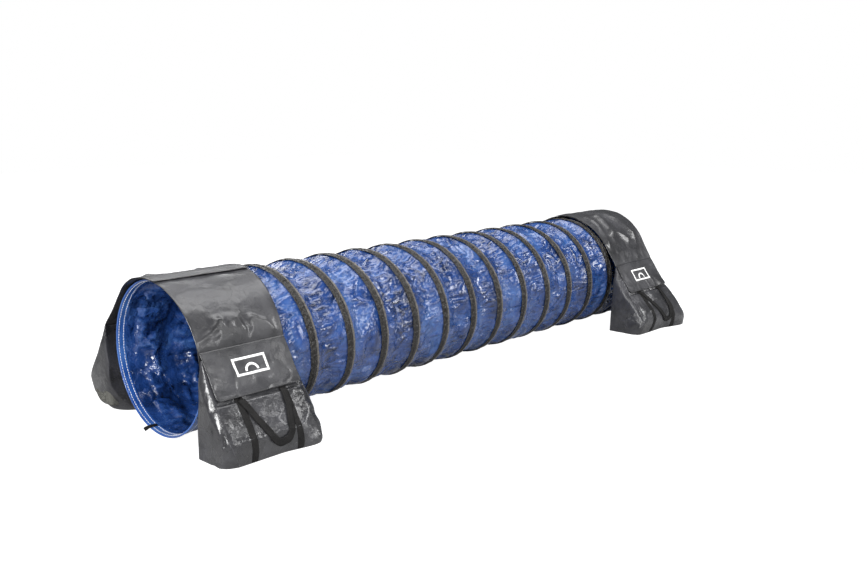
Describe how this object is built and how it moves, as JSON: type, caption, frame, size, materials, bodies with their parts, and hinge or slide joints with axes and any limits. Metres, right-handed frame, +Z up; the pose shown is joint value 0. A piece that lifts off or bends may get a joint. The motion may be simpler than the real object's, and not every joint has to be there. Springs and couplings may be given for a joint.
{
  "type": "agility tunnel",
  "caption": "Collapsible dog agility tunnel: a glossy vinyl tube on a helical spring wire, held down at each end by a saddle with flapped sandbag pouches.",
  "frame": {"origin": "on the floor under the middle of the tunnel", "axes": "+X along the tunnel from the near mouth to the far one, +Z up, -Y to the front, where the printed flaps are"},
  "size_m": [3.084, 1.0836, 0.6207],
  "materials": {
    "blue_vinyl": "gloss",
    "rib_tape": "satin",
    "spring_steel": "satin",
    "white_thread": "matte",
    "hook_and_loop": "matte",
    "sandbag_cloth": "matte",
    "white_print": "satin",
    "black_webbing": "matte",
    "grey_vinyl": "satin"
  },
  "bodies": {
    "tunnel": {"tunnel_fabric": "blue_vinyl", "spring_wire": "spring_steel", "rib_tape": "rib_tape", "near_hem": "blue_vinyl", "near_hoop": "spring_steel", "near_hem_stitching": "white_thread", "strap_sewn_end": "black_webbing"},
    "far_end": {"far_hem": "blue_vinyl", "far_hoop": "spring_steel", "far_hem_stitching": "white_thread"},
    "closing_strap": {"closing_strap": "black_webbing"},
    "near_saddle": {"near_cover_loop_strip": "hook_and_loop", "near_cover_hook_strip": "hook_and_loop", "near_front_cover": "grey_vinyl", "near_front_pouch": "grey_vinyl", "near_front_sandbag": "sandbag_cloth", "near_front_webbing_bands": "black_webbing", "near_front_pouch_loop_strip": "hook_and_loop", "near_back_cover": "grey_vinyl", "near_back_pouch": "grey_vinyl", "near_back_sandbag": "sandbag_cloth", "near_back_webbing_bands": "black_webbing", "near_back_pouch_loop_strip": "hook_and_loop"},
    "near_front_flap": {"near_front_flap": "grey_vinyl", "near_front_flap_hook_strip": "hook_and_loop", "near_front_emblem": "white_print"},
    "near_front_handle": {"near_front_handle": "black_webbing"},
    "near_back_flap": {"near_back_flap": "grey_vinyl", "near_back_flap_hook_strip": "hook_and_loop"},
    "near_back_handle": {"near_back_handle": "black_webbing"},
    "far_saddle": {"far_cover_loop_strip": "hook_and_loop", "far_cover_hook_strip": "hook_and_loop", "far_front_cover": "grey_vinyl", "far_front_pouch": "grey_vinyl", "far_front_sandbag": "sandbag_cloth", "far_front_webbing_bands": "black_webbing", "far_front_pouch_loop_strip": "hook_and_loop", "far_back_cover": "grey_vinyl", "far_back_pouch": "grey_vinyl", "far_back_sandbag": "sandbag_cloth", "far_back_webbing_bands": "black_webbing", "far_back_pouch_loop_strip": "hook_and_loop"},
    "far_front_flap": {"far_front_flap": "grey_vinyl", "far_front_flap_hook_strip": "hook_and_loop", "far_front_emblem": "white_print"},
    "far_front_handle": {"far_front_handle": "black_webbing"},
    "far_back_flap": {"far_back_flap": "grey_vinyl", "far_back_flap_hook_strip": "hook_and_loop"},
    "far_back_handle": {"far_back_handle": "black_webbing"}
  },
  "joints": [
    {"name": "tunnel_collapse", "type": "slide", "parent": "tunnel", "child": "far_end", "axis": [-1, 0, 0], "range_m": [0, 2.72], "stiffness_N_per_m": 6, "deforming": ["tunnel_fabric", "spring_wire", "rib_tape"]},
    {"name": "closing_strap_bend", "type": "hinge", "parent": "tunnel", "child": "closing_strap", "pos_m": [-1.5106, 0.07677, 0.01951], "axis": [0, 0.9659, 0.2588], "range_deg": [0, 110]},
    {"name": "near_saddle_lift", "type": "slide", "parent": "tunnel", "child": "near_saddle", "axis": [0, 0, 1], "range_m": [0, 0.8]},
    {"name": "far_saddle_lift", "type": "slide", "parent": "tunnel", "child": "far_saddle", "axis": [0, 0, 1], "range_m": [0, 0.8]},
    {"name": "near_front_flap_hinge", "type": "hinge", "parent": "near_saddle", "child": "near_front_flap", "pos_m": [-1.33, -0.3045, 0.386], "axis": [-1, 0, 0], "range_deg": [0, 150]},
    {"name": "near_front_handle_swing", "type": "hinge", "parent": "near_saddle", "child": "near_front_handle", "pos_m": [-1.33, -0.40353, 0.21863], "axis": [-1, 0, 0], "range_deg": [0, 80]},
    {"name": "near_back_flap_hinge", "type": "hinge", "parent": "near_saddle", "child": "near_back_flap", "pos_m": [-1.33, 0.3845, 0.383], "axis": [1, 0, 0], "range_deg": [0, 150]},
    {"name": "near_back_handle_swing", "type": "hinge", "parent": "near_saddle", "child": "near_back_handle", "pos_m": [-1.33, 0.48231, 0.22652], "axis": [1, 0, 0], "range_deg": [0, 80]},
    {"name": "far_front_flap_hinge", "type": "hinge", "parent": "far_saddle", "child": "far_front_flap", "pos_m": [1.33, -0.335, 0.368], "axis": [-1, 0, 0], "range_deg": [0, 150]},
    {"name": "far_front_handle_swing", "type": "hinge", "parent": "far_saddle", "child": "far_front_handle", "pos_m": [1.33, -0.43838, 0.21983], "axis": [-1, 0, 0], "range_deg": [0, 80]},
    {"name": "far_back_flap_hinge", "type": "hinge", "parent": "far_saddle", "child": "far_back_flap", "pos_m": [1.33, 0.3045, 0.386], "axis": [1, 0, 0], "range_deg": [0, 150]},
    {"name": "far_back_handle_swing", "type": "hinge", "parent": "far_saddle", "child": "far_back_handle", "pos_m": [1.33, 0.40353, 0.21863], "axis": [1, 0, 0], "range_deg": [0, 80]}
  ]
}
